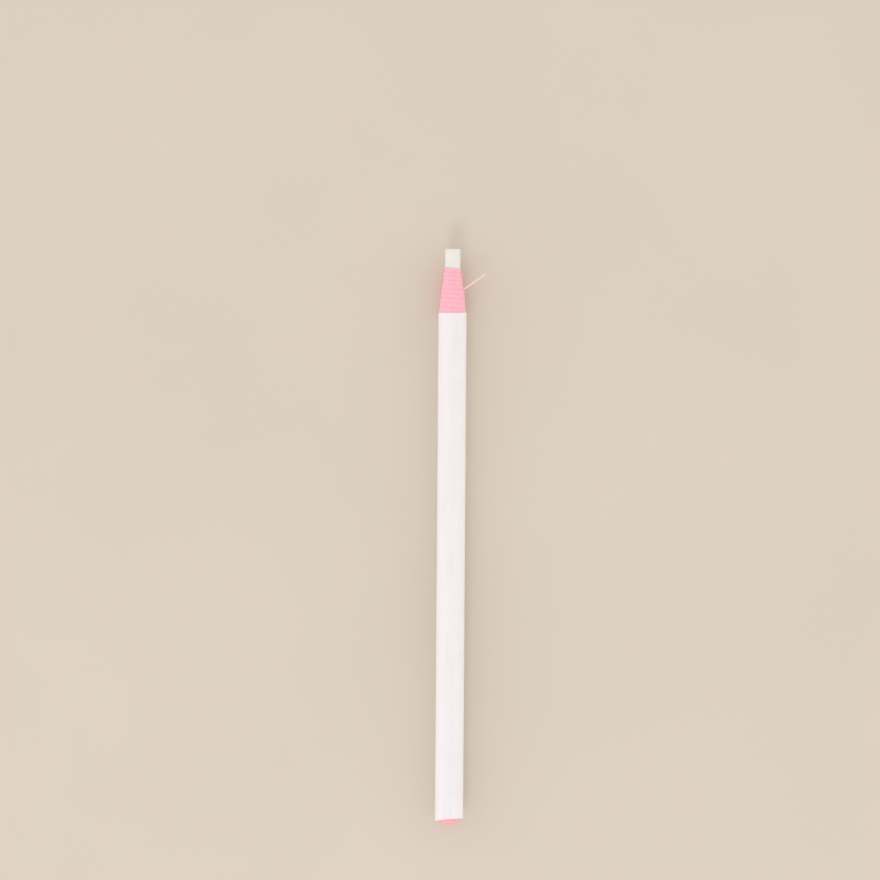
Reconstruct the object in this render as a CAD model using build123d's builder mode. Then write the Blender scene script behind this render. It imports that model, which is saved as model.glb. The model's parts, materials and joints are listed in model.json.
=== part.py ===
from build123d import *
import math
import os

# A peel-off wax marker lying on its side, in millimetres.
# Y runs along it: the back end is at -Y and the writing tip at +Y. It rests on Z = 0.
# A wax stick is rolled in turns of paper, with a glued cover outside. The turns are stepped back at the
# tip, which makes the cone, and the roll is cut at the same steps into bands that come off one by one.
# A thread lies between two turns of the paper and comes out on the cone, on the +X side.

# The wax stick
core_diameter = 4.55
tip_length = 5.8  # bare wax in front of the paper
tip_edge_radius = 0.45  # rounded rim of the writing end
butt_edge_radius = 0.2

# The paper roll and its cover
barrel_diameter = 8.4
cover_thickness = 0.2
paper_turns = 10
cone_length = 13.2  # from the paper's front edge to the cover's front edge
cone_bow = 1.2  # how far the outermost turn shows, over how far the innermost one does
band_length = 6.25
band_count = 21
butt_length = 18.75  # the cover behind the last band
foot_length = 1.0  # wax and inner turns that stand out behind the cover
foot_turns = 3

# The pull thread
thread_diameter = 0.45
exit_turn = 5  # turns under the thread, which comes out at the front edge of the next one
exit_depth = 0.12  # from that edge back to the end of the covered thread
tail_first_run = 4.0
tail_last_run = 4.0
tail_lean = 30.0  # degrees from square to the marker, towards the tip
tail_turn = 6.4  # degrees that the loose end bends further towards the tip
tail_bend_share = 0.45  # share of a run that the bend takes up

# Clearances
core_clearance = 0.06  # between the wax and the paper, all round
band_clearance = 0.05  # between one band and the next
glue_line = 0.04  # between the paper and its cover
thread_clearance = 0.06  # between the thread and the paper, all round
tail_clearance = 0.03  # between the paper and the loose end's root

# Places along the marker
barrel_length = band_count * band_length + butt_length
overall_length = foot_length + barrel_length + cone_length + tip_length
back_y = -overall_length / 2
cover_back_y = back_y + foot_length
cone_foot_y = cover_back_y + barrel_length
cone_top_y = cone_foot_y + cone_length
tip_y = cone_top_y + tip_length

# Radii about the marker's axis
core_radius = core_diameter / 2
barrel_radius = barrel_diameter / 2
bore_radius = core_radius + core_clearance
cover_bore_radius = barrel_radius - cover_thickness
paper_radius = cover_bore_radius - glue_line
paper_thickness = (paper_radius - bore_radius) / paper_turns

axis_height = barrel_radius
marker_axis = Axis((0, 0, axis_height), (0, 1, 0))
profile_plane = Plane.XY.offset(axis_height)


def turn_radius(turn):
    """Radius on the outside of that many turns of paper."""
    return bore_radius + turn * paper_thickness


# How far each turn's front edge lies behind the innermost one's. What shows of a turn grows outwards.
first_shown = 2 * cone_length / (paper_turns * (1 + cone_bow))
shown_growth = first_shown * (cone_bow - 1) / (paper_turns - 1)
turn_shown = [first_shown + turn * shown_growth for turn in range(paper_turns)]
turn_setback = [sum(turn_shown[:turn]) for turn in range(paper_turns)]


def front_steps(top):
    """Outline of a stepped front end, from the bore outwards. top is the innermost turn's front edge."""
    points = []
    for turn in range(paper_turns):
        front = top - turn_setback[turn]
        points += [(turn_radius(turn), front), (turn_radius(turn + 1), front)]
    return points


def back_steps(top):
    """Outline of the stepped back end that clears the next band's front end, from the outside inwards."""
    points = []
    for turn in reversed(range(paper_turns)):
        back = top - turn_setback[turn] - band_length + band_clearance
        step_gap = band_clearance if turn > 0 else 0
        outer_gap = band_clearance if turn < paper_turns - 1 else 0
        points += [(turn_radius(turn + 1) + outer_gap, back), (turn_radius(turn) + step_gap, back)]
    return points


def foot_steps():
    """Outline of the paper's back end, from the outside inwards: the inner turns stand out one by one."""
    points = [(paper_radius, cover_back_y), (turn_radius(foot_turns), cover_back_y)]
    for turn in reversed(range(foot_turns)):
        back = back_y + foot_length * (turn + 1) / (foot_turns + 1)
        points += [(turn_radius(turn + 1), back), (turn_radius(turn), back)]
    return points


# The thread's line, and the place where it comes out of the cone
thread_radius = thread_diameter / 2
thread_line_radius = turn_radius(exit_turn)
exit_setback = turn_setback[exit_turn]
exit_y = cone_top_y - exit_setback
thread_plane = Plane(
    origin=(thread_line_radius, cover_back_y, axis_height), x_dir=(1, 0, 0), z_dir=(0, 1, 0)
)
thread_length = exit_y - exit_depth - cover_back_y
channel_radius = thread_radius + thread_clearance
channel_length = exit_y + channel_radius - cover_back_y
root_gap = thread_radius + tail_clearance  # from the paper below and behind to the middle of the root

os.makedirs("parts", exist_ok=True)

# Wax stick, bare at the tip and flush with the inner turns at the back
with BuildPart() as wax_core:
    with BuildSketch(profile_plane):
        with BuildLine():
            Polyline((0, back_y), (core_radius, back_y), (core_radius, tip_y), (0, tip_y), close=True)
        make_face()
    revolve(axis=marker_axis)
    rims = wax_core.edges().filter_by(GeomType.CIRCLE).sort_by(Axis.Y)
    fillet(rims[-1], radius=tip_edge_radius)
    fillet(rims[0], radius=butt_edge_radius)
wax_core.part.label = "wax_core"
export_step(wax_core.part, "parts/wax_core.step")

# Thread under the paper, from the back to where it comes out
with BuildPart() as pull_thread:
    with BuildSketch(thread_plane):
        Circle(thread_radius)
    extrude(amount=thread_length)
pull_thread.part.label = "pull_thread"
export_step(pull_thread.part, "parts/pull_thread.step")

# Loose end of the thread, which turns about its rounded root
tail_bend_radius = (
    tail_bend_share * min(tail_first_run, tail_last_run) / math.tan(math.radians(tail_turn / 2))
)
with BuildPart() as thread_tail:
    with BuildLine():
        root = Vector(thread_line_radius + root_gap, exit_y + root_gap, axis_height)
        bend = root + Vector(tail_first_run, 0).rotate(Axis.Z, tail_lean)
        end = bend + Vector(tail_last_run, 0).rotate(Axis.Z, tail_lean + tail_turn)
        tail_path = FilletPolyline(root, bend, end, radius=tail_bend_radius)
    with BuildSketch(Plane(tail_path @ 0, z_dir=tail_path % 0)):
        Circle(thread_radius)
    sweep(path=tail_path)
    with Locations(tail_path @ 0):
        Sphere(thread_radius)
thread_tail.part.label = "thread_tail"
export_step(thread_tail.part, "parts/thread_tail.step")

# Paper bands, numbered from the tip in the order that they are peeled
for band in range(band_count):
    top = cone_top_y - band * band_length
    with BuildPart() as paper_band:
        with BuildSketch(profile_plane):
            with BuildLine():
                Polyline(*front_steps(top), *back_steps(top), close=True)
            make_face()
        revolve(axis=marker_axis)
        with BuildSketch(thread_plane):
            Circle(channel_radius)
        extrude(amount=channel_length, mode=Mode.SUBTRACT)
    paper_band.part.label = f"paper_band_{band + 1:02d}"
    export_step(paper_band.part, f"parts/{paper_band.part.label}.step")

# The cover over each band
for band in range(band_count):
    front = cone_foot_y - band * band_length
    back = front - band_length + band_clearance
    with BuildPart() as cover_band:
        with BuildSketch(profile_plane):
            with BuildLine():
                Polyline(
                    (cover_bore_radius, front),
                    (barrel_radius, front),
                    (barrel_radius, back),
                    (cover_bore_radius, back),
                    close=True,
                )
            make_face()
        revolve(axis=marker_axis)
    cover_band.part.label = f"cover_band_{band + 1:02d}"
    export_step(cover_band.part, f"parts/{cover_band.part.label}.step")

# Paper that stays on, behind the last band
with BuildPart() as paper_butt:
    with BuildSketch(profile_plane):
        with BuildLine():
            Polyline(*front_steps(cone_top_y - band_count * band_length), *foot_steps(), close=True)
        make_face()
    revolve(axis=marker_axis)
    with BuildSketch(thread_plane):
        Circle(channel_radius)
    extrude(amount=channel_length, mode=Mode.SUBTRACT)
paper_butt.part.label = "paper_butt"
export_step(paper_butt.part, "parts/paper_butt.step")

# The cover over it
with BuildPart() as cover_butt:
    with BuildSketch(profile_plane):
        with BuildLine():
            Polyline(
                (cover_bore_radius, cover_back_y + butt_length),
                (barrel_radius, cover_back_y + butt_length),
                (barrel_radius, cover_back_y),
                (cover_bore_radius, cover_back_y),
                close=True,
            )
        make_face()
    revolve(axis=marker_axis)
cover_butt.part.label = "cover_butt"
export_step(cover_butt.part, "parts/cover_butt.step")

tail_length = tail_path.length
tail_volume = thread_tail.part.volume
tube_volume = math.pi * thread_radius**2 * tail_length + 2 / 3 * math.pi * thread_radius**3
print(f"overall {overall_length:.2f} mm, paper {paper_thickness:.4f} mm thick")
print(f"thread at radius {thread_line_radius:.3f}, out {exit_setback:.2f} behind the paper's front edge")
print(f"loose end {tail_length:.2f} mm long from {root}, bend radius {tail_bend_radius:.1f} mm")
print(f"loose end volume {tail_volume:.4f} against {tube_volume:.4f} mm3")
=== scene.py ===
"""Visible pieces of a peel-off wax marker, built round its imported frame.

Every piece is in metres, in the frame's own axes. Y runs along the marker from its back end to its tip,
Z is up, and the thread comes out on the +X side. Angles round the marker start at +X and turn towards +Z.
"""

import json
import math
import random

import bmesh
import bpy
from bpy.props import FloatProperty, FloatVectorProperty, IntProperty, PointerProperty
from bpy.types import Operator, Panel, PropertyGroup
from mathutils import Euler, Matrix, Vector, noise

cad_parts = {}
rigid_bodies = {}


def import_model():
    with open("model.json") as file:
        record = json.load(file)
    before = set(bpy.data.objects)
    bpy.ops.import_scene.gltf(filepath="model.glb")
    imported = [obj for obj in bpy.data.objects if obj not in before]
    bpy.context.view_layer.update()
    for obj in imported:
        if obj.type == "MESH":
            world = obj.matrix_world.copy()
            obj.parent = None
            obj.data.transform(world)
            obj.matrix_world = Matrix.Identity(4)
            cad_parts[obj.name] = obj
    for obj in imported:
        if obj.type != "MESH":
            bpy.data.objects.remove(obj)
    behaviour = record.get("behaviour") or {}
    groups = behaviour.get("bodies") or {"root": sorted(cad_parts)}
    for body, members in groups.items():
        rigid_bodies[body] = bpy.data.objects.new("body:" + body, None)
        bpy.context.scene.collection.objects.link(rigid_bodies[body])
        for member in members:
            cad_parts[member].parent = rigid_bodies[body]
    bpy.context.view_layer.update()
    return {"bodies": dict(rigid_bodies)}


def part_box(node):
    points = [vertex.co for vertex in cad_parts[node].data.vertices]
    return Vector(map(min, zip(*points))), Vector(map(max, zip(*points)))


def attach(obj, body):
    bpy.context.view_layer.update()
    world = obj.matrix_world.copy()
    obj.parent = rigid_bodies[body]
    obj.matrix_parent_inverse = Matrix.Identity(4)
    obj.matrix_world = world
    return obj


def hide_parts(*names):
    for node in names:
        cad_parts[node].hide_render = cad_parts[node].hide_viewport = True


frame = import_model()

bl_info = {
    "name": "Peel-off wax marker",
    "version": (1, 0, 0),
    "blender": (4, 5, 0),
    "location": "3D View > Sidebar > Marker",
    "description": "Builds the wax, paper, cover and thread of a peel-off marker round its packed frame",
    "category": "Object",
}

MM = 0.001

# Places along the marker and radii about its axis, as the frame has them
WAX_LOW, WAX_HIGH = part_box("wax_core")
BAND_LOW, BAND_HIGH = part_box("paper_band_01")
BUTT_LOW, BUTT_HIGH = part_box("cover_butt")
THREAD_LOW, THREAD_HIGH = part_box("pull_thread")
BACK_Y = WAX_LOW.y
TIP_Y = WAX_HIGH.y
CONE_TOP_Y = BAND_HIGH.y
CONE_FOOT_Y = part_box("cover_band_01")[1].y
CONE_LENGTH = CONE_TOP_Y - CONE_FOOT_Y
BAND_LENGTH = CONE_TOP_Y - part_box("paper_band_02")[1].y
COVER_BACK_Y = BUTT_LOW.y
AXIS_HEIGHT = (WAX_LOW.z + WAX_HIGH.z) / 2
CORE_RADIUS = (WAX_HIGH.x - WAX_LOW.x) / 2
PAPER_RADIUS = (BAND_HIGH.x - BAND_LOW.x) / 2
BARREL_RADIUS = (BUTT_HIGH.x - BUTT_LOW.x) / 2
THREAD_LINE_RADIUS = (THREAD_LOW.x + THREAD_HIGH.x) / 2
THREAD_RADIUS = (THREAD_HIGH.x - THREAD_LOW.x) / 2
BAND_NUMBERS = sorted(name.split("_")[1] for name in frame["bodies"] if name.startswith("band_"))

# The loose end's route from its root, and the short way out from under the paper to that root
LOOSE_END_ROUTE = [
    (3.403 * MM, 73.188 * MM, 4.2 * MM),
    (6.800 * MM, 75.470 * MM, 4.2 * MM),
    (9.830 * MM, 77.760 * MM, 4.2 * MM),
]
EXIT_ROUTE = [
    (3.148 * MM, 72.300 * MM, 4.2 * MM),
    (3.148 * MM, 72.780 * MM, 4.2 * MM),
    (3.200 * MM, 73.070 * MM, 4.2 * MM),
    (3.403 * MM, 73.188 * MM, 4.2 * MM),
]

# The sheet starts underneath, and after this share of each turn it passes the thread, at angle 0
SHEET_START = -math.pi / 2
THREAD_PHASE = SHEET_START / (2 * math.pi) % 1

# How finely the pieces are divided
SEGMENTS_A_TURN = 64
SLEEVE_SEGMENTS = 128
WAX_SEGMENTS = 96
WAX_RING_SPACING = 1.6 * MM
PLY_SIDES = 7
STEPS_A_TWIST = 14
HAIR_SIDES = 5
HAIR_STEPS = 5
ROUTE_RESOLUTION = 24
SHARP_ANGLE = math.radians(38)

# Mesh attribute with each point's edge mask, from 0 to 1: wear on the wax's writing rim, bare fibre on the
# cover's cut faces, and on the paper's front edges a paler strip that is partly bare fibre and partly painted
# light
EDGE_WEAR_AND_LIGHT = "edge_wear_and_light"


# Settings


def length_setting(name, description, millimetres, low=0.0):
    """A length, given in millimetres."""
    return FloatProperty(
        name=name, description=description, default=millimetres * MM, min=low * MM, unit="LENGTH",
    )


def share_setting(name, description, default, low, high):
    """A share of something else."""
    return FloatProperty(
        name=name, description=description, default=default, min=low, max=high, subtype="FACTOR",
    )


def angle_setting(name, description, degrees, low=-360):
    """An angle, given in degrees."""
    return FloatProperty(
        name=name, description=description,
        default=math.radians(degrees), min=math.radians(low), unit="ROTATION",
    )


def count_setting(name, description, default, low, high):
    """A whole number of things."""
    return IntProperty(name=name, description=description, default=default, min=low, max=high)


def strength_setting(name, description, default, unit="NONE"):
    """How strong a light is."""
    return FloatProperty(name=name, description=description, default=default, min=0, unit=unit)


def colour_setting(name, description, default):
    """A colour, as a shader takes it."""
    return FloatVectorProperty(
        name=name, description=description, default=default, min=0, max=1, size=3, subtype="COLOR",
    )


class MarkerShape(PropertyGroup):
    """Sizes of the visible pieces that the frame doesn't give."""

    rim_radius: length_setting("Tip rim", "Rounding of the wax at the writing end", 0.45)
    butt_rim_radius: length_setting("Back rim", "Rounding of the wax at the back end", 0.2)
    wax_waver: length_setting("Wax unevenness", "How far the wax dips from a true cylinder", 0.014)
    rim_wear: length_setting("Rim wear", "How far the writing rim is worn back where it is worn most", 0.12)
    core_clearance: length_setting("Bore clearance", "Gap between the wax and the first turn of paper", 0.05)
    paper_turns: count_setting("Paper turns", "Layers of paper between the wax and the cover", 10, 3, 40)
    climb_share: share_setting(
        "Climb", "Share of a turn over which the paper climbs over its own start", 0.11, 0.02, 0.24,
    )
    cone_bow: share_setting(
        "Cone bow", "How far the outermost turn shows, over how far the innermost one does", 1.2, 0.2, 5.0,
    )
    paper_packing: share_setting(
        "Paper packing", "Thickness of the paper as a share of the step from turn to turn", 0.96, 0.3, 1.0,
    )
    feather_length: length_setting(
        "Pressed edge", "Width of the rounded strip along the paper's front edge", 0.2,
    )
    feather_share: share_setting(
        "Edge thickness", "Thickness at the very front edge, as a share of the paper's", 0.4, 0.05, 1.0,
    )
    # Paler pink strip along the paper's front edge: partly bare cut fibre, partly painted light that evens
    # out the shading of each step
    pale_edge_length: length_setting("Rubbed edge", "Width of the paler pink along the paper's front edge", 0.34)
    paper_waver: length_setting("Paper edge waver", "How far the paper's cut edges wander", 0.07)
    paper_gap: length_setting("Cut width", "Gap where the paper is cut between two bands", 0.02)
    thread_room: length_setting(
        "Room for the thread", "Gap between the thread and the turns on either side of it", 0.03,
    )
    pinch_angle: angle_setting(
        "Pinch width", "Angle either side of the thread over which the turns part", 17, 5,
    )
    foot_turns: count_setting("Foot turns", "Inner turns that stand out of the cover at the back", 1, 1, 10)
    foot_inset: length_setting("Foot inset", "How far the paper's back edge lies inside the end", 0.05)
    sheet_thickness: length_setting("Cover thickness", "Thickness of the glued cover sheet", 0.19, 0.02)
    seam_step: length_setting("Seam step", "Height of the cover's lengthwise glued edge", 0.05)
    seam_angle: angle_setting("Seam place", "Angle of the cover's glued edge round the marker", 236)
    seam_width: angle_setting("Seam width", "Angle that stays open at the cover's glued edge", 0.6)
    cover_flats: length_setting("Cover flats", "Depth of the shallow lengthwise flats in the cover", 0.008)
    cut_slant: length_setting(
        "Cut slant", "How far each cover's front cut leans towards the tip at the thread's side", 0.05, -1.0,
    )
    cut_waver: length_setting("Cut waver", "How far the front cut of each cover wanders", 0.1)
    back_slant: length_setting(
        "Back slant", "How far the back cut leans towards the tip at the thread's side", 0.35, -1.0,
    )
    back_rim_radius: length_setting("Cover back rim", "Rounding of the cover's outer edge at the back", 0.11)
    plies: count_setting("Plies", "Yarns twisted together in the thread", 3, 2, 5)
    ply_fullness: share_setting(
        "Ply fullness", "Thickness of a yarn over that of one that just touches the others", 1.12, 0.5, 1.3,
    )
    twist_pitch: length_setting("Twist pitch", "Length of one full twist of the thread", 1.15, 0.2)
    fray_length: length_setting("Fray length", "Length over which the loose end comes apart", 0.5)
    hair_radius: length_setting("Hair thickness", "Radius of a single stray fibre", 0.009, 0.004)
    hair_spacing: length_setting("Hair spacing", "Distance from one stray fibre to the next", 0.2, 0.05)


class MarkerColours(PropertyGroup):
    """Colours of the pieces and of the floor."""

    wax: colour_setting("Wax", "White wax of the writing stick", (0.835, 0.83, 0.78))
    wax_rim: colour_setting("Wax rim", "Warmer tone of the rubbed writing rim", (0.87, 0.79, 0.69))
    wax_dull: colour_setting("Wax bloom", "Paler bloom on the wax", (0.855, 0.855, 0.805))
    wax_mark: colour_setting("Wax marks", "Greyer pits and rubbed marks in the wax", (0.73, 0.71, 0.65))
    paper: colour_setting("Paper", "Rolled pink paper", (1.0, 0.517, 0.593))
    paper_deep: colour_setting("Paper fibres", "Darker fibres in the pink paper", (0.95, 0.43, 0.51))
    # Paler pink for the paper's front edges: partly bare cut fibre, partly painted light that evens out the
    # shading of each step
    paper_edge_fibre_and_light: colour_setting("Paper edge", "Paler fibres along the paper's cut edges", (1.0, 0.552, 0.624))
    cover: colour_setting("Cover", "White cover sheet", (0.925, 0.877, 0.885))
    cover_dull: colour_setting("Cover fibres", "Greyer fibres in the cover sheet", (0.835, 0.79, 0.78))
    cover_edge: colour_setting("Cover edge", "Bare fibre along the cover's cut edges", (0.9, 0.83, 0.82))
    thread: colour_setting("Thread", "Cream cotton thread", (0.985, 0.81, 0.65))
    thread_deep: colour_setting("Thread hollows", "Darker fibres in the thread", (0.89, 0.68, 0.51))
    floor: colour_setting("Floor", "Plain pale floor", (0.73, 0.64, 0.54))
    floor_dull: colour_setting("Floor clouds", "Faintly darker clouds in the floor", (0.7081, 0.6208, 0.5238))


class MarkerStage(PropertyGroup):
    """Camera, light and floor. The camera looks down on the marker as it lies."""

    distance: length_setting("Camera distance", "From the camera to the point that it looks at", 2500)
    tilt: angle_setting("Camera tilt", "Lean of the camera from straight above towards the back end", 1.2)
    roll: angle_setting("Camera roll", "Turn of the camera about its line of sight", 0.4)
    lens: FloatProperty(
        name="Lens", description="Focal length in millimetres", default=345.2, min=10, unit="CAMERA",
    )
    aim_x: length_setting("Aim aside", "Where the camera looks, across the marker", -3.44, -100)
    aim_y: length_setting("Aim along", "Where the camera looks, along the marker", 28.33, -100)
    sky_overhead: strength_setting("Light overhead", "Strength of the soft light from straight above", 0.49)
    sky_side: strength_setting("Light at the sides", "Strength of the soft light from the horizon", 1.72)
    lamp_power: strength_setting("Lamp power", "Power of the soft lamp", 7.0, "POWER")
    lamp_size: length_setting("Lamp size", "Width of the soft lamp", 700)
    lamp_place: FloatVectorProperty(
        name="Lamp place", description="Where the soft lamp stands, behind the back end",
        default=(-0.3, -1.5, 1.1), size=3, subtype="TRANSLATION", unit="LENGTH",
    )
    floor_size: length_setting("Floor size", "Width of the floor", 8000, 300)


# Shared geometry


def around(radius, angle, y):
    """A point at that radius and angle about the marker's axis."""
    return Vector((radius * math.cos(angle), y, AXIS_HEIGHT + radius * math.sin(angle)))


def smooth(value):
    """0 below 0, 1 above 1, with a soft start and end between."""
    value = min(1.0, max(0.0, value))
    return value * value * (3 - 2 * value)


def add_object(name, data):
    """An object with this data, linked to the scene."""
    made = bpy.data.objects.new(name, data)
    bpy.context.scene.collection.objects.link(made)
    return made


class Skin:
    """Collects the points and faces of one closed mesh, and each point's edge mask: wear, bare cut fibre, or
    on the paper partly painted light.
    """

    def __init__(self):
        self.points = []
        self.faces = []
        self.worn = []

    def loft(self, loops, wrap=False, poles=(None, None), worn=None):
        """Closed skin through loops of equally many points. wrap joins the last loop to the first.

        poles gives the two end points that close the ends with fans; otherwise each end is one face.
        worn gives each point's edge mask from 0 to 1, loop by loop: wear, bare cut fibre, or on the paper's
        front edges a paler strip that is partly painted light.
        """
        start = len(self.points)
        count = len(loops[0])
        self.worn += worn or [0.0] * count * len(loops)
        for loop in loops:
            self.points += loop
        for i in range(len(loops) if wrap else len(loops) - 1):
            here = start + i * count
            there = start + (i + 1) % len(loops) * count
            for k in range(count):
                n = (k + 1) % count
                self.faces.append((here + k, here + n, there + n, there + k))
        if not wrap:
            self.close_end(start, count, poles[0])
            self.close_end(start + (len(loops) - 1) * count, count, poles[1])

    def close_end(self, first, count, pole):
        """Closes one end with a face, or with a fan about its pole."""
        if pole is None:
            self.faces.append(tuple(range(first, first + count)))
            return
        middle = len(self.points)
        self.points.append(pole)
        self.worn.append(0.0)
        for k in range(count):
            self.faces.append((middle, first + k, first + (k + 1) % count))

    def piece(self, name, material, body, slot, *nodes):
        """The finished object, riding on its body in place of the frame's nodes."""
        mesh = bpy.data.meshes.new(name)
        mesh.from_pydata(self.points, [], self.faces)
        shell = bmesh.new()
        shell.from_mesh(mesh)
        bmesh.ops.recalc_face_normals(shell, faces=shell.faces)
        shell.to_mesh(mesh)
        shell.free()
        mesh.attributes.new(EDGE_WEAR_AND_LIGHT, "FLOAT", "POINT").data.foreach_set("value", self.worn)
        mesh.shade_smooth()
        mesh.set_sharp_from_angle(angle=SHARP_ANGLE)
        mesh.materials.append(material)
        made = add_object(name, mesh)
        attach(made, body)
        if nodes:
            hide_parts(*nodes)
        return made


# Shader groups that the materials share


def new_group(name, inputs, outputs):
    """An empty shader group with these float inputs and outputs."""
    group = bpy.data.node_groups.new(name, "ShaderNodeTree")
    for label, value in inputs.items():
        socket = group.interface.new_socket(name=label, in_out="INPUT", socket_type="NodeSocketFloat")
        socket.default_value = value
    for label in outputs:
        group.interface.new_socket(name=label, in_out="OUTPUT", socket_type="NodeSocketFloat")
    return group


def add_node(tree, kind, **values):
    """A node of this kind, with its inputs and settings given by name."""
    node = tree.nodes.new(kind)
    for name, value in values.items():
        label = name.replace("_", " ").title()
        if label in node.inputs:
            node.inputs[label].default_value = value
        else:
            setattr(node, name, value)
    return node


def fibres_group():
    """Fibres, soft clouding and fine tooth of a sheet or a yarn.

    Along under 1 draws the fibres out along the marker, and over 1 it draws them out round it.
    """
    name = "Sheet fibres"
    if name in bpy.data.node_groups:
        return bpy.data.node_groups[name]
    inputs = {"Fibre Scale": 3000.0, "Cloud Scale": 300.0, "Along": 0.22}
    group = new_group(name, inputs, ("Fibres", "Cloud", "Tooth"))
    tooth_fineness = 2.6
    entry = add_node(group, "NodeGroupInput")
    leave = add_node(group, "NodeGroupOutput")
    place = add_node(group, "ShaderNodeTexCoord")
    stretch = add_node(group, "ShaderNodeMapping")
    draw_out = add_node(group, "ShaderNodeCombineXYZ", x=1.0, z=1.0)
    fibres = add_node(group, "ShaderNodeTexNoise", detail=5.0, roughness=0.62, distortion=0.6)
    cloud = add_node(group, "ShaderNodeTexNoise", detail=3.0, roughness=0.5)
    tooth = add_node(group, "ShaderNodeTexNoise", detail=2.0, roughness=0.7)
    finer = add_node(group, "ShaderNodeMath", operation="MULTIPLY")
    finer.inputs[1].default_value = tooth_fineness
    links = group.links
    links.new(place.outputs["Object"], stretch.inputs["Vector"])
    links.new(entry.outputs["Along"], draw_out.inputs["Y"])
    links.new(draw_out.outputs["Vector"], stretch.inputs["Scale"])
    links.new(stretch.outputs["Vector"], fibres.inputs["Vector"])
    links.new(place.outputs["Object"], cloud.inputs["Vector"])
    links.new(place.outputs["Object"], tooth.inputs["Vector"])
    links.new(entry.outputs["Fibre Scale"], fibres.inputs["Scale"])
    links.new(entry.outputs["Cloud Scale"], cloud.inputs["Scale"])
    links.new(entry.outputs["Fibre Scale"], finer.inputs[0])
    links.new(finer.outputs["Value"], tooth.inputs["Scale"])
    links.new(fibres.outputs["Fac"], leave.inputs["Fibres"])
    links.new(cloud.outputs["Fac"], leave.inputs["Cloud"])
    links.new(tooth.outputs["Fac"], leave.inputs["Tooth"])
    return group


def scuffs_group():
    """Fine rubbed marks from handling, as a mask from 0 to 1."""
    name = "Handling scuffs"
    if name in bpy.data.node_groups:
        return bpy.data.node_groups[name]
    group = new_group(name, {"Mark Scale": 500.0, "Threshold": 0.6}, ("Scuffs",))
    entry = add_node(group, "NodeGroupInput")
    leave = add_node(group, "NodeGroupOutput")
    place = add_node(group, "ShaderNodeTexCoord")
    stretch = add_node(group, "ShaderNodeMapping", scale=(1.0, 0.12, 0.6), rotation=(0.15, 0.0, 0.3))
    marks = add_node(group, "ShaderNodeTexNoise", detail=3.0, roughness=0.55, distortion=0.3)
    patches = add_node(group, "ShaderNodeTexNoise", scale=90.0, detail=1.0, roughness=0.5)
    cut = add_node(group, "ShaderNodeMapRange", interpolation_type="SMOOTHSTEP", from_max=0.82)
    both = add_node(group, "ShaderNodeMath", operation="MULTIPLY")
    links = group.links
    links.new(place.outputs["Object"], stretch.inputs["Vector"])
    links.new(stretch.outputs["Vector"], marks.inputs["Vector"])
    links.new(place.outputs["Object"], patches.inputs["Vector"])
    links.new(entry.outputs["Mark Scale"], marks.inputs["Scale"])
    links.new(entry.outputs["Threshold"], cut.inputs["From Min"])
    links.new(marks.outputs["Fac"], cut.inputs["Value"])
    links.new(cut.outputs["Result"], both.inputs[0])
    links.new(patches.outputs["Fac"], both.inputs[1])
    links.new(both.outputs["Value"], leave.inputs["Scuffs"])
    return group


def edges_group():
    """Worn and cut edges, and the paper's paler front edges that are partly painted light, broken up a
    little, as a mask from 0 to 1.
    """
    name = "Worn edges"
    if name in bpy.data.node_groups:
        return bpy.data.node_groups[name]
    group = new_group(name, {"Break Scale": 2000.0}, ("Edges",))
    entry = add_node(group, "NodeGroupInput")
    leave = add_node(group, "NodeGroupOutput")
    place = add_node(group, "ShaderNodeTexCoord")
    worn = add_node(group, "ShaderNodeAttribute", attribute_name=EDGE_WEAR_AND_LIGHT)
    breaks = add_node(group, "ShaderNodeTexNoise", detail=2.0, roughness=0.6)
    spread = add_node(group, "ShaderNodeMapRange", from_min=0.3, from_max=0.6, to_min=0.45)
    both = add_node(group, "ShaderNodeMath", operation="MULTIPLY")
    links = group.links
    links.new(place.outputs["Object"], breaks.inputs["Vector"])
    links.new(entry.outputs["Break Scale"], breaks.inputs["Scale"])
    links.new(breaks.outputs["Fac"], spread.inputs["Value"])
    links.new(spread.outputs["Result"], both.inputs[0])
    links.new(worn.outputs["Fac"], both.inputs[1])
    links.new(both.outputs["Value"], leave.inputs["Edges"])
    return group


# Materials


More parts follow.
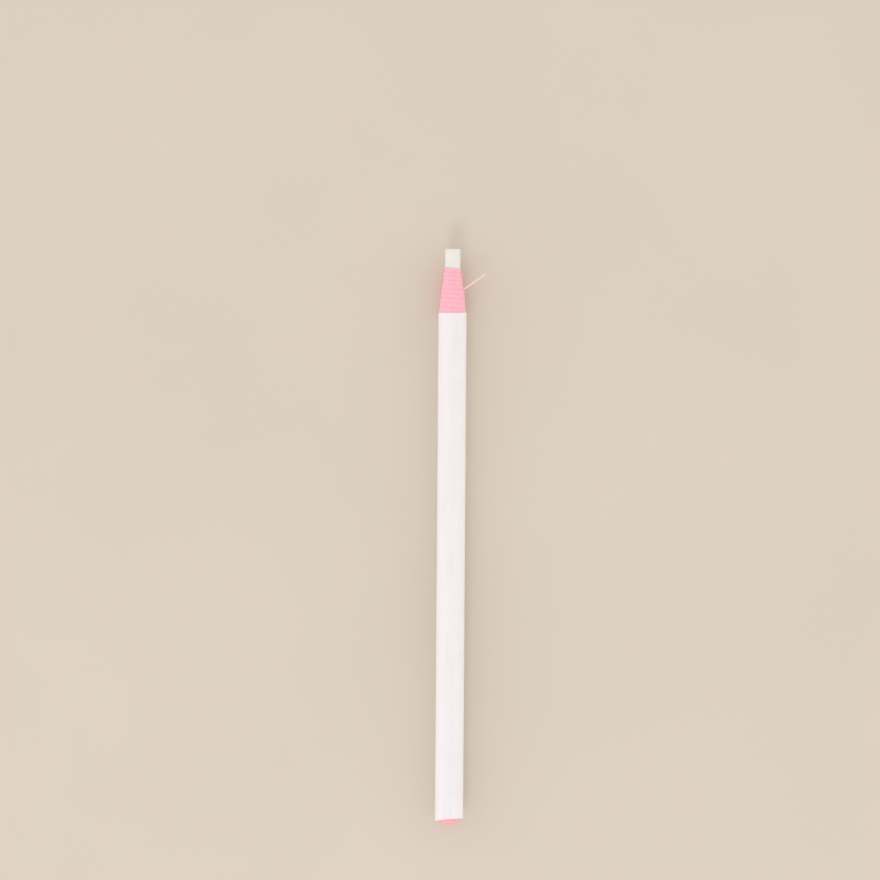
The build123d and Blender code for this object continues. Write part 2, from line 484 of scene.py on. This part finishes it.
class Finish:
    """A material in the making: its shader, and the links that vary it over the surface."""

    def __init__(self, name):
        self.material = bpy.data.materials.new(name)
        self.material.use_nodes = True
        self.tree = self.material.node_tree
        self.shader = self.tree.nodes["Principled BSDF"]

    def place(self, group, **values):
        """Places a shader group with its own values, and gives its outputs."""
        node = self.tree.nodes.new("ShaderNodeGroup")
        node.node_tree = group
        for label, value in values.items():
            node.inputs[label.replace("_", " ").title()].default_value = value
        return node.outputs

    def spread(self, value, to=(0.0, 1.0), over=(0.3, 0.7)):
        """A value that goes from one number to another while the given one crosses a range."""
        node = add_node(
            self.tree, "ShaderNodeMapRange", from_min=over[0], from_max=over[1], to_min=to[0], to_max=to[1],
        )
        self.tree.links.new(value, node.inputs["Value"])
        return node.outputs["Result"]

    def blend(self, share, first, second):
        """A colour that goes from the first to the second by a varying share."""
        node = add_node(self.tree, "ShaderNodeMix", data_type="RGBA")
        self.tree.links.new(share, node.inputs["Factor"])
        for label, given in (("A", first), ("B", second)):
            socket = next(s for s in node.inputs if s.name == label and s.type == "RGBA")
            if isinstance(given, bpy.types.NodeSocket):
                self.tree.links.new(given, socket)
            else:
                socket.default_value = (*given, 1.0)
        return next(s for s in node.outputs if s.type == "RGBA")

    def feed(self, label, value):
        """Feeds a varying value to the shader."""
        self.tree.links.new(value, self.shader.inputs[label])

    def set(self, **values):
        """Values that are the same all over the surface."""
        for label, value in values.items():
            self.shader.inputs[label.replace("_", " ")].default_value = value

    def bump(self, height, depth, strength):
        """Fine relief, which joins any relief that was added before."""
        node = add_node(self.tree, "ShaderNodeBump", strength=strength, distance=depth)
        self.tree.links.new(height, node.inputs["Height"])
        socket = self.shader.inputs["Normal"]
        if socket.is_linked:
            self.tree.links.new(socket.links[0].from_socket, node.inputs["Normal"])
        self.tree.links.new(node.outputs["Normal"], socket)


def wax_material(colours):
    """Off-white wax: a soft sheen, a pale bloom in patches, fine pits and rubbed marks along the stick."""
    name = "Wax"
    if name in bpy.data.materials:
        return bpy.data.materials[name]
    made = Finish(name)
    fibres = made.place(fibres_group(), Fibre_Scale=1400.0, Cloud_Scale=420.0)
    scuffs = made.place(scuffs_group(), Mark_Scale=900.0, Threshold=0.52)
    edges = made.place(edges_group(), Break_Scale=1500.0)
    bloom = made.spread(fibres["Cloud"])
    pits = made.spread(fibres["Tooth"], to=(0.0, 0.35), over=(0.56, 0.72))
    rubs = made.spread(scuffs["Scuffs"], to=(0.0, 0.6), over=(0.0, 0.4))
    tone = made.blend(bloom, colours.wax, colours.wax_dull)
    tone = made.blend(pits, tone, colours.wax_mark)
    tone = made.blend(rubs, tone, colours.wax_mark)
    made.feed("Base Color", made.blend(edges["Edges"], tone, colours.wax_rim))
    made.feed("Roughness", made.spread(scuffs["Scuffs"], to=(0.42, 0.62), over=(0.0, 0.4)))
    made.bump(fibres["Fibres"], depth=0.03 * MM, strength=0.8)
    made.bump(scuffs["Scuffs"], depth=0.03 * MM, strength=0.8)
    made.set(Specular_IOR_Level=0.4, Subsurface_Weight=0.18, Subsurface_Scale=0.6 * MM)
    made.set(Subsurface_Radius=(1.0, 0.95, 0.85))
    return made.material


def paper_material(colours):
    """Soft pink paper, dyed through, with darker fibres and a dry surface."""
    name = "Pink paper"
    if name in bpy.data.materials:
        return bpy.data.materials[name]
    made = Finish(name)
    fibres = made.place(fibres_group(), Fibre_Scale=2600.0, Cloud_Scale=700.0, Along=2.6)
    edges = made.place(edges_group(), Break_Scale=2600.0)
    flecks = made.spread(fibres["Fibres"], to=(0.0, 0.5), over=(0.42, 0.72))
    clouds = made.spread(fibres["Cloud"], to=(0.0, 0.16))
    tone = made.blend(flecks, colours.paper, colours.paper_deep)
    tone = made.blend(clouds, tone, colours.paper_deep)
    # Paler pink along the front edges: partly bare cut fibre, partly painted light that evens out the shading
    # of each step
    made.feed("Base Color", made.blend(edges["Edges"], tone, colours.paper_edge_fibre_and_light))
    made.feed("Roughness", made.spread(fibres["Tooth"], to=(0.74, 0.92)))
    made.bump(fibres["Tooth"], depth=0.012 * MM, strength=0.7)
    made.bump(fibres["Fibres"], depth=0.03 * MM, strength=0.8)
    made.set(Specular_IOR_Level=0.25, Sheen_Weight=0.06, Sheen_Roughness=0.5)
    return made.material


def cover_material(colours):
    """White coated sheet with a satin face, faint lengthwise streaks, flecks and a few rubbed marks."""
    name = "White cover"
    if name in bpy.data.materials:
        return bpy.data.materials[name]
    made = Finish(name)
    fibres = made.place(fibres_group(), Fibre_Scale=3000.0, Cloud_Scale=160.0)
    streaks = made.place(fibres_group(), Fibre_Scale=900.0, Cloud_Scale=60.0, Along=0.03)
    scuffs = made.place(scuffs_group(), Mark_Scale=700.0, Threshold=0.52)
    edges = made.place(edges_group(), Break_Scale=1800.0)
    tone = colours.cover
    for dulling in (
        made.spread(fibres["Fibres"], to=(0.0, 0.4), over=(0.5, 0.72)),
        made.spread(streaks["Fibres"], to=(0.0, 0.3), over=(0.4, 0.7)),
        made.spread(fibres["Cloud"], to=(0.0, 0.25)),
        made.spread(scuffs["Scuffs"], to=(0.0, 0.6), over=(0.0, 0.5)),
    ):
        tone = made.blend(dulling, tone, colours.cover_dull)
    made.feed("Base Color", made.blend(edges["Edges"], tone, colours.cover_edge))
    made.feed("Roughness", made.spread(scuffs["Scuffs"], to=(0.44, 0.68), over=(0.0, 0.5)))
    made.bump(fibres["Fibres"], depth=0.012 * MM, strength=0.5)
    made.bump(streaks["Fibres"], depth=0.03 * MM, strength=0.5)
    made.set(Specular_IOR_Level=0.42, Coat_Weight=0.05, Coat_Roughness=0.35)
    return made.material


def thread_material(colours):
    """Cream cotton with lengthwise fibres and a dusty edge."""
    name = "Cotton thread"
    if name in bpy.data.materials:
        return bpy.data.materials[name]
    made = Finish(name)
    fibres = made.place(fibres_group(), Fibre_Scale=9000.0, Cloud_Scale=1500.0)
    hollows = made.spread(fibres["Fibres"], to=(0.0, 0.55), over=(0.4, 0.75))
    made.feed("Base Color", made.blend(hollows, colours.thread, colours.thread_deep))
    made.feed("Roughness", made.spread(fibres["Tooth"], to=(0.8, 0.97)))
    made.bump(fibres["Fibres"], depth=0.015 * MM, strength=0.7)
    made.set(Specular_IOR_Level=0.2, Sheen_Weight=0.25, Sheen_Roughness=0.6)
    return made.material


def floor_material(colours):
    """A plain matt floor, faintly clouded."""
    made = Finish("Floor")
    fibres = made.place(fibres_group(), Fibre_Scale=900.0, Cloud_Scale=12.0)
    clouds = made.spread(fibres["Cloud"])
    made.feed("Base Color", made.blend(clouds, colours.floor, colours.floor_dull))
    made.feed("Roughness", made.spread(fibres["Tooth"], to=(0.85, 0.95)))
    made.set(Specular_IOR_Level=0.2)
    return made.material


# The wax stick


def rounded_end(end_y, inward, rim, face_rings, rim_steps):
    """(y, radius) from the middle of an end face to where its rounded rim meets the side."""
    flat = CORE_RADIUS - rim
    profile = [(end_y, flat * (ring + 1) / face_rings) for ring in range(face_rings)]
    for step in range(1, rim_steps + 1):
        lean = math.pi / 2 * step / rim_steps
        profile.append((end_y + inward * rim * (1 - math.cos(lean)), flat + rim * math.sin(lean)))
    return profile


def wax_rings(shape):
    """The wax's rings from the back end to the tip, uneven as poured wax is, and their points' wear."""
    swell_length = 6 * MM
    swells_round = 1.4
    chips_round = 2.1
    chip_seed = Vector((3.7, 0, 1.3))
    rim_reach = 2 * shape.rim_radius
    back = rounded_end(BACK_Y, 1, shape.butt_rim_radius, face_rings=5, rim_steps=4)
    tip = rounded_end(TIP_Y, -1, shape.rim_radius, face_rings=8, rim_steps=7)
    first_y, last_y = back[-1][0], tip[-1][0]
    steps = round((last_y - first_y) / WAX_RING_SPACING)
    side = [(first_y + (last_y - first_y) * n / steps, CORE_RADIUS) for n in range(1, steps)]
    rings = []
    worn = []
    for y, radius in back + side + tip[::-1]:
        ring = []
        outwards = radius / CORE_RADIUS
        wear = smooth((y - (TIP_Y - rim_reach)) / rim_reach) * smooth(outwards)
        for k in range(WAX_SEGMENTS):
            angle = 2 * math.pi * k / WAX_SEGMENTS
            across = Vector((math.cos(angle), math.sin(angle), 0))
            swell = noise.noise(across * swells_round + Vector((0, 0, y / swell_length)))
            uneven = radius - shape.wax_waver * (0.5 + 0.5 * swell) * outwards
            chip = 0.5 + 0.5 * noise.noise(across * chips_round * outwards + chip_seed)
            ring.append(around(uneven, angle, y - shape.rim_wear * chip * wear))
        rings.append(ring)
        worn += [wear] * WAX_SEGMENTS
    return rings, worn


class MARKER_OT_wax_stick(Operator):
    """Build the wax stick with its bare writing tip"""

    bl_idname = "marker.wax_stick"
    bl_label = "Wax stick"

    def execute(self, context):
        skin = Skin()
        rings, worn = wax_rings(context.scene.marker_shape)
        middles = [sum(ring, Vector()) / len(ring) for ring in (rings[0], rings[-1])]
        skin.loft(rings, poles=middles, worn=worn)
        skin.piece("wax_stick", wax_material(context.scene.marker_colours), "core", "wax", "wax_core")
        return {"FINISHED"}


# The rolled paper


def roll_step(shape):
    """Radius of the paper's bore and the step outwards from turn to turn."""
    bore = CORE_RADIUS + shape.core_clearance
    return bore, (PAPER_RADIUS - bore) / shape.paper_turns


def sheet_radius(shape, turn):
    """Inside radius of the sheet after that many turns. Each turn ends by climbing over its own start."""
    bore, step = roll_step(shape)
    whole = math.floor(turn)
    climb = smooth((turn - whole - 1 + shape.climb_share) / shape.climb_share)
    return bore + step * (whole + climb)


def turn_setback(shape, turn):
    """How far the paper's front edge falls back in that many turns."""
    first = 2 * CONE_LENGTH / (shape.paper_turns * (1 + shape.cone_bow))
    growth = first * (shape.cone_bow - 1) / (shape.paper_turns - 1)
    return first * turn + growth * turn * (turn - 1) / 2


def edge_waver(shape, turn):
    """Wandering of the paper's cut edges, slow and quick, alike for every band so that they meet."""
    slow_waves, quick_waves = 2.3, 11.0
    slow = noise.noise(Vector((slow_waves * turn, 5.1, 0.0)))
    quick = noise.noise(Vector((quick_waves * turn, 1.7, 4.0)))
    return shape.paper_waver * (0.7 * slow + 0.3 * quick)


def sheet_angle(turn):
    """Angle round the marker after that many turns of the sheet."""
    return SHEET_START - 2 * math.pi * turn


def front_edge(shape, top, turn):
    """Where the sheet's front edge lies after that many turns. Halfway round the first turn it is at top."""
    return top - turn_setback(shape, turn - 0.5) + edge_waver(shape, turn)


def parted_radius(shape, turn, radius, y):
    """That radius on the roll, moved so that the turns part round the thread.

    The turns over the thread are lifted, and those under it are pressed in as far as the thread goes.
    """
    bore, step = roll_step(shape)
    crossing = round(turn - THREAD_PHASE)
    aside = abs(turn - THREAD_PHASE - crossing) * 2 * math.pi / shape.pinch_angle
    if aside >= 1:
        return radius
    closeness = 0.5 + 0.5 * math.cos(math.pi * aside)
    room = THREAD_RADIUS + shape.thread_room
    first_over = round((THREAD_LINE_RADIUS - bore) / step)
    border = bore + step * first_over
    if crossing >= first_over:
        lift = closeness * (THREAD_LINE_RADIUS + room - border)
        return PAPER_RADIUS - (PAPER_RADIUS - radius) * (1 - lift / (PAPER_RADIUS - border))
    press_end = front_edge(shape, CONE_TOP_Y, first_over + THREAD_PHASE) + 1.3 * THREAD_RADIUS
    press_fade = 2.7 * THREAD_RADIUS
    press = closeness * (border - THREAD_LINE_RADIUS + room) * (1 - smooth((y - press_end) / press_fade))
    return bore + (radius - bore) * (1 - press / (border - bore))


def paper_strip(shape, top, back_at, rows):
    """Cross-sections of one band of the rolled sheet, from the wax outwards, and their points' edge mask,
    which paints the front edge paler: partly bare cut fibre, partly painted light that evens out the shading
    of each step.

    top is where its front edge starts at the wax, and back_at gives its back edge from turn, angle and front.
    """
    thickness = roll_step(shape)[1] * shape.paper_packing
    bulge = 0.1
    round_share = (1 + shape.feather_share) / 2 + bulge
    sheet_turns = shape.paper_turns - shape.climb_share
    stations = round(sheet_turns * SEGMENTS_A_TURN)
    sections = []
    worn = []
    for station in range(stations + 1):
        turn = sheet_turns * station / stations
        angle = sheet_angle(turn)
        front = front_edge(shape, top, turn)
        back = back_at(turn, angle, front)
        clean = front - shape.pale_edge_length
        # Share of the thickness, place along the marker and edge mask, from the front edge back. The mask
        # paints the front edge paler, partly as bare cut fibre and partly as painted light that evens out the
        # shading of each step.
        outline = [
            (shape.feather_share, front, 1.0),
            (round_share, front - 0.4 * shape.feather_length, 0.6),
            (1, front - shape.feather_length, 0.3),
        ]
        outline += [(1, clean + (back - clean) * row / rows, 0.0) for row in range(rows + 1)]
        inside = sheet_radius(shape, turn)
        section = [(inside + thickness * share, y) for share, y, wear in outline]
        section += [(inside, y) for share, y, wear in reversed(outline)]
        sections.append([around(parted_radius(shape, turn, radius, y), angle, y) for radius, y in section])
        worn += [wear for share, y, wear in outline + outline[::-1]]
    return sections, worn


class MARKER_OT_paper_bands(Operator):
    """Build the rolled paper bands that are peeled off one after another"""

    bl_idname = "marker.paper_bands"
    bl_label = "Paper bands"

    def execute(self, context):
        shape = context.scene.marker_shape
        material = paper_material(context.scene.marker_colours)

        def cut_behind(turn, angle, front):
            return front - BAND_LENGTH + shape.paper_gap

        for index, number in enumerate(BAND_NUMBERS):
            skin = Skin()
            sections, worn = paper_strip(shape, CONE_TOP_Y - index * BAND_LENGTH, cut_behind, rows=4)
            skin.loft(sections, worn=worn)
            skin.piece(
                f"paper_roll_{number}", material, f"band_{number}", "pink_paper", f"paper_band_{number}"
            )
        return {"FINISHED"}


def back_cut(shape, angle):
    """Where the cover's slanting back cut lies. It is hollowed a little on top and underneath."""
    hollow = 0.7 * math.sin(angle) ** 2
    return COVER_BACK_Y + shape.back_slant * (math.cos(angle) + hollow)


class MARKER_OT_paper_butt(Operator):
    """Build the paper that stays on behind the last band"""

    bl_idname = "marker.paper_butt"
    bl_label = "Paper butt"

    def execute(self, context):
        shape = context.scene.marker_shape
        material = paper_material(context.scene.marker_colours)

        def foot_edge(turn, angle, front):
            foot = back_cut(shape, angle) - BACK_Y
            return BACK_Y + shape.foot_inset + foot * smooth(turn - shape.foot_turns)

        skin = Skin()
        top = CONE_TOP_Y - len(BAND_NUMBERS) * BAND_LENGTH
        sections, worn = paper_strip(shape, top, foot_edge, rows=8)
        skin.loft(sections, worn=worn)
        skin.piece("paper_roll_butt", material, "core", "pink_paper", "paper_butt")
        return {"FINISHED"}


# The glued cover


def front_cut(shape, angle):
    """How far the cover's front cut wanders towards the tip at that angle, alike for every band."""
    waver = math.cos(2 * angle) + 0.2 * math.sin(5 * angle + 1.0)
    return shape.cut_slant * math.cos(angle) + shape.cut_waver * waver


def sleeve_sections(shape, front_at, back_at, rim):
    """Cross-sections of a stretch of the wrapped cover, once round from its glued edge, and their wear.

    front_at and back_at give its cuts from the angle, and rim is the rounding of its back edge.
    """
    flats_round = 1.3
    flats_seed = 7.0
    rim_steps = 4 if rim else 0
    rows = 4
    sections = []
    worn = []
    for k in range(SLEEVE_SEGMENTS + 1):
        share = k / SLEEVE_SEGMENTS
        angle = shape.seam_angle + (2 * math.pi - shape.seam_width) * share
        place = Vector((flats_round * math.cos(angle), flats_round * math.sin(angle), flats_seed))
        outside = BARREL_RADIUS - shape.seam_step * share - shape.cover_flats * noise.noise(place)
        inside = outside - shape.sheet_thickness
        front, back = front_at(angle), back_at(angle)
        section = [(outside, front + (back + rim - front) * row / rows) for row in range(rows + 1)]
        for step in range(1, rim_steps + 1):
            lean = math.pi / 2 * step / rim_steps
            section.append((outside - rim * (1 - math.cos(lean)), back + rim * (1 - math.sin(lean))))
        bare = [(inside, back), (inside, (front + back) / 2), (inside, front)]
        sections.append([around(radius, angle, y) for radius, y in section + bare])
        worn += [0.0] * len(section) + [1.0] * len(bare)
    return sections, worn


class MARKER_OT_cover_bands(Operator):
    """Build the stretches of white cover over the bands"""

    bl_idname = "marker.cover_bands"
    bl_label = "Cover bands"

    def execute(self, context):
        shape = context.scene.marker_shape
        material = cover_material(context.scene.marker_colours)
        for index, number in enumerate(BAND_NUMBERS):
            front_y = CONE_FOOT_Y - index * BAND_LENGTH
            sections, worn = sleeve_sections(
                shape,
                lambda angle: front_y + front_cut(shape, angle),
                lambda angle: front_y - BAND_LENGTH + front_cut(shape, angle),
                rim=0.0,
            )
            skin = Skin()
            skin.loft(sections, wrap=True, worn=worn)
            skin.piece(
                f"cover_sleeve_{number}", material, f"band_{number}", "white_cover", f"cover_band_{number}"
            )
        return {"FINISHED"}


class MARKER_OT_cover_butt(Operator):
    """Build the cover's last stretch, which isn't peeled"""

    bl_idname = "marker.cover_butt"
    bl_label = "Cover butt"

    def execute(self, context):
        shape = context.scene.marker_shape
        material = cover_material(context.scene.marker_colours)
        sections, worn = sleeve_sections(
            shape,
            lambda angle: BUTT_HIGH.y + front_cut(shape, angle),
            lambda angle: back_cut(shape, angle),
            rim=shape.back_rim_radius,
        )
        skin = Skin()
        skin.loft(sections, wrap=True, worn=worn)
        skin.piece("cover_sleeve_butt", material, "core", "white_cover", "cover_butt")
        return {"FINISHED"}


# The thread


def route_line(route):
    """Points along the smooth line that a route's control points draw."""
    curve = bpy.data.curves.new("route", "CURVE")
    curve.dimensions = "3D"
    curve.resolution_u = ROUTE_RESOLUTION
    spline = curve.splines.new("NURBS")
    spline.points.add(len(route) - 1)
    for control, point in zip(spline.points, route):
        control.co = (*point, 1.0)
    spline.order_u = min(3, len(route))
    spline.use_endpoint_u = True
    guide = bpy.data.objects.new("route", curve)
    mesh = bpy.data.meshes.new_from_object(guide)
    line = [vertex.co.copy() for vertex in mesh.vertices]
    bpy.data.objects.remove(guide)
    bpy.data.curves.remove(curve)
    bpy.data.meshes.remove(mesh)
    return line


def even_steps(line, step):
    """(distance, point, direction) at even steps along a line of points."""
    reached = [0.0]
    for before, after in zip(line, line[1:]):
        reached.append(reached[-1] + (after - before).length)
    length = reached[-1]
    shares = [distance / length for distance in reached]
    count = max(2, round(length / step))
    found = []
    span = 0
    for n in range(count + 1):
        share = n / count
        while span < len(line) - 2 and shares[span + 1] < share:
            span += 1
        part = (share - shares[span]) / (shares[span + 1] - shares[span])
        direction = (line[span + 1] - line[span]).normalized()
        found.append((share * length, line[span].lerp(line[span + 1], part), direction))
    return found


def tube_ring(middle, direction, radius, sides):
    """A ring of points square to a direction."""
    aside = direction.cross(Vector((0, 0, 1)))
    if aside.length < 0.1:
        aside = direction.cross(Vector((1, 0, 0)))
    aside.normalize()
    over = aside.cross(direction)
    turns = [2 * math.pi * k / sides for k in range(sides)]
    return [middle + radius * (math.cos(a) * aside + math.sin(a) * over) for a in turns]


def twist_plies(skin, shape, route, fray):
    """Adds a twisted thread along a route to a skin. fray is the length over which its far end comes apart.

    Gives each ply's last point, its direction there and the way out from the thread's middle.
    """
    plumpness = 0.07
    plump_length = 0.4 * MM
    fray_spread = 0.45
    fray_thinning = 0.35
    offset = THREAD_RADIUS / (1 + math.sin(math.pi / shape.plies))
    ply_radius = shape.ply_fullness * (THREAD_RADIUS - offset)
    stations = even_steps(route_line(route), shape.twist_pitch / STEPS_A_TWIST)
    length = stations[-1][0]
    ends = []
    for ply in range(shape.plies):
        rings = []
        for distance, point, direction in stations:
            loose = smooth((distance - length + fray) / fray) if fray else 0.0
            angle = 2 * math.pi * (distance / shape.twist_pitch + ply / shape.plies)
            aside = direction.cross(Vector((0, 0, 1))).normalized()
            outwards = math.cos(angle) * aside + math.sin(angle) * aside.cross(direction)
            plump = 1 + plumpness * noise.noise(Vector((distance / plump_length, 3.1 * ply, 2.0)))
            middle = point + offset * (1 + fray_spread * loose) * outwards
            radius = ply_radius * plump * (1 - fray_thinning * loose)
            rings.append(tube_ring(middle, direction, radius, PLY_SIDES))
        skin.loft(rings)
        ends.append((middle, direction, outwards))
    return ends


def add_hair(skin, shape, root, lead, bend):
    """Adds one stray fibre that starts at root, runs along lead, curls towards bend and tapers."""
    taper = 0.6
    line = [root + lead * (n / HAIR_STEPS) + bend * (n / HAIR_STEPS) ** 2 for n in range(HAIR_STEPS + 1)]
    rings = []
    for n, point in enumerate(line):
        ahead = line[min(n + 1, HAIR_STEPS)] - line[max(n - 1, 0)]
        radius = shape.hair_radius * (1 - taper * n / HAIR_STEPS)
        rings.append(tube_ring(point, ahead.normalized(), radius, HAIR_SIDES))
    skin.loft(rings)


def frayed_end(skin, shape, ends, draw):
    """Adds the fibres that stand out of each ply's frayed end."""
    fibres_an_end = 5
    root_depth = 0.3 * shape.fray_length
    for middle, direction, outwards in ends:
        root = middle - direction * root_depth
        for n in range(fibres_an_end):
            reach = shape.fray_length * draw.uniform(0.25, 0.55)
            spread = outwards.lerp(Vector((0, 0, draw.uniform(-1, 1))), draw.uniform(0.1, 0.7))
            add_hair(skin, shape, root, direction * reach, spread * reach * draw.uniform(0.1, 0.6))


def stray_hairs(skin, shape, route, draw):
    """Adds the short fibres that stand off a thread all along its route."""
    root_radius = 0.6 * THREAD_RADIUS
    lift = 0.3
    curl = 0.5
    for distance, point, direction in even_steps(route_line(route), shape.hair_spacing)[1:-2]:
        aside = direction.cross(Vector((0, 0, 1))).normalized()
        angle = draw.uniform(0, 2 * math.pi)
        outwards = math.cos(angle) * aside + Vector((0, 0, math.sin(angle)))
        reach = draw.uniform(0.15, 0.4) * MM
        root = point + outwards * root_radius
        lead = direction * reach + outwards * reach * lift
        add_hair(skin, shape, root, lead, outwards * reach * curl)


class MARKER_OT_covered_thread(Operator):
    """Build the thread that lies between two turns of the paper"""

    bl_idname = "marker.covered_thread"
    bl_label = "Covered thread"

    def execute(self, context):
        shape = context.scene.marker_shape
        material = thread_material(context.scene.marker_colours)
        ends = (back_cut(shape, 0.0), EXIT_ROUTE[0][1])
        skin = Skin()
        twist_plies(skin, shape, [(THREAD_LINE_RADIUS, end, AXIS_HEIGHT) for end in ends], fray=0.0)
        skin.piece("covered_thread", material, "core", "thread", "pull_thread")
        return {"FINISHED"}


class MARKER_OT_loose_end(Operator):
    """Build the thread's loose end, and the short way out of the paper to its root"""

    bl_idname = "marker.loose_end"
    bl_label = "Loose end"

    def execute(self, context):
        shape = context.scene.marker_shape
        material = thread_material(context.scene.marker_colours)
        way_out = Skin()
        twist_plies(way_out, shape, EXIT_ROUTE, fray=0.0)
        way_out.piece("thread_exit", material, "band_01", "thread")
        draw = random.Random(21)
        skin = Skin()
        ends = twist_plies(skin, shape, LOOSE_END_ROUTE, shape.fray_length)
        frayed_end(skin, shape, ends, draw)
        stray_hairs(skin, shape, LOOSE_END_ROUTE, draw)
        skin.piece("loose_end", material, "tail", "thread", "thread_tail")
        return {"FINISHED"}


# The stage


def tent_light(stage, tone):
    """Soft light from all round, stronger at the sides. Straight to the camera it shows the floor's tone."""
    world = bpy.data.worlds.new("Tent")
    world.use_nodes = True
    tree = world.node_tree
    background = tree.nodes["Background"]
    background.inputs["Color"].default_value = (1.0, 1.0, 1.0, 1.0)
    place = add_node(tree, "ShaderNodeTexCoord")
    split = add_node(tree, "ShaderNodeSeparateXYZ")
    height = add_node(tree, "ShaderNodeMapRange", to_min=stage.sky_side, to_max=stage.sky_overhead)
    seen = add_node(tree, "ShaderNodeBackground", color=(*tone, 1.0))
    rays = add_node(tree, "ShaderNodeLightPath")
    either = add_node(tree, "ShaderNodeMixShader")
    tree.links.new(place.outputs["Generated"], split.inputs["Vector"])
    tree.links.new(split.outputs["Z"], height.inputs["Value"])
    tree.links.new(height.outputs["Result"], background.inputs["Strength"])
    direct = rays.outputs["Is Camera Ray"]
    for kind in ("Is Glossy Ray", "Is Transmission Ray"):
        more = add_node(tree, "ShaderNodeMath", operation="MAXIMUM")
        tree.links.new(direct, more.inputs[0])
        tree.links.new(rays.outputs[kind], more.inputs[1])
        direct = more.outputs["Value"]
    tree.links.new(direct, either.inputs["Fac"])
    tree.links.new(background.outputs["Background"], either.inputs[1])
    tree.links.new(seen.outputs["Background"], either.inputs[2])
    tree.links.new(either.outputs["Shader"], tree.nodes["World Output"].inputs["Surface"])
    return world


class MARKER_OT_stage(Operator):
    """Build the floor, the soft light and the camera"""

    bl_idname = "marker.stage"
    bl_label = "Stage"

    def execute(self, context):
        scene = context.scene
        stage = scene.marker_stage
        colours = scene.marker_colours
        scene.view_settings.view_transform = "Standard"
        scene.world = tent_light(stage, colours.floor)

        sheet = bmesh.new()
        bmesh.ops.create_grid(sheet, x_segments=8, y_segments=8, size=stage.floor_size / 2)
        mesh = bpy.data.meshes.new("floor")
        sheet.to_mesh(mesh)
        sheet.free()
        mesh.materials.append(floor_material(colours))
        floor = add_object("floor", mesh)

        light = bpy.data.lights.new("soft_lamp", "AREA")
        light.size = stage.lamp_size
        light.energy = stage.lamp_power
        lamp = add_object("soft_lamp", light)
        lamp.location = stage.lamp_place
        lamp.rotation_euler = (-lamp.location).to_track_quat("-Z", "Y").to_euler()

        lens = bpy.data.cameras.new("camera")
        lens.lens = stage.lens
        lens.clip_start = 10 * MM
        lens.clip_end = 2 * stage.floor_size
        camera = add_object("camera", lens)
        camera.rotation_euler = Euler((stage.tilt, 0.0, stage.roll))
        sight = camera.rotation_euler.to_matrix() @ Vector((0, 0, -1))
        camera.location = Vector((stage.aim_x, stage.aim_y, AXIS_HEIGHT)) - sight * stage.distance
        scene.camera = camera
        return {"FINISHED"}


# The add-on


OPERATORS = (
    MARKER_OT_wax_stick,
    MARKER_OT_paper_bands,
    MARKER_OT_paper_butt,
    MARKER_OT_cover_bands,
    MARKER_OT_cover_butt,
    MARKER_OT_covered_thread,
    MARKER_OT_loose_end,
    MARKER_OT_stage,
)
SETTINGS = {"marker_shape": MarkerShape, "marker_colours": MarkerColours, "marker_stage": MarkerStage}


class MARKER_PT_sidebar(Panel):
    """Lists the marker's pieces and their settings"""

    bl_idname = "MARKER_PT_sidebar"
    bl_label = "Peel-off marker"
    bl_space_type = "VIEW_3D"
    bl_region_type = "UI"
    bl_category = "Marker"

    def draw(self, context):
        for operator in OPERATORS:
            self.layout.operator(operator.bl_idname)
        for settings in SETTINGS:
            group = getattr(context.scene, settings)
            column = self.layout.column(align=True)
            for name in group.bl_rna.properties.keys():
                if name not in ("rna_type", "name"):
                    column.prop(group, name)


def register():
    for made in (*SETTINGS.values(), *OPERATORS, MARKER_PT_sidebar):
        bpy.utils.register_class(made)
    for name, made in SETTINGS.items():
        setattr(bpy.types.Scene, name, PointerProperty(type=made))


def unregister():
    for name in SETTINGS:
        delattr(bpy.types.Scene, name)
    for made in (MARKER_PT_sidebar, *reversed(OPERATORS), *SETTINGS.values()):
        bpy.utils.unregister_class(made)


def main():
    register()
    bpy.ops.marker.wax_stick()
    bpy.ops.marker.paper_bands()
    bpy.ops.marker.paper_butt()
    bpy.ops.marker.cover_bands()
    bpy.ops.marker.cover_butt()
    bpy.ops.marker.covered_thread()
    bpy.ops.marker.loose_end()
    bpy.ops.marker.stage()


if __name__ == "__main__":
    main()
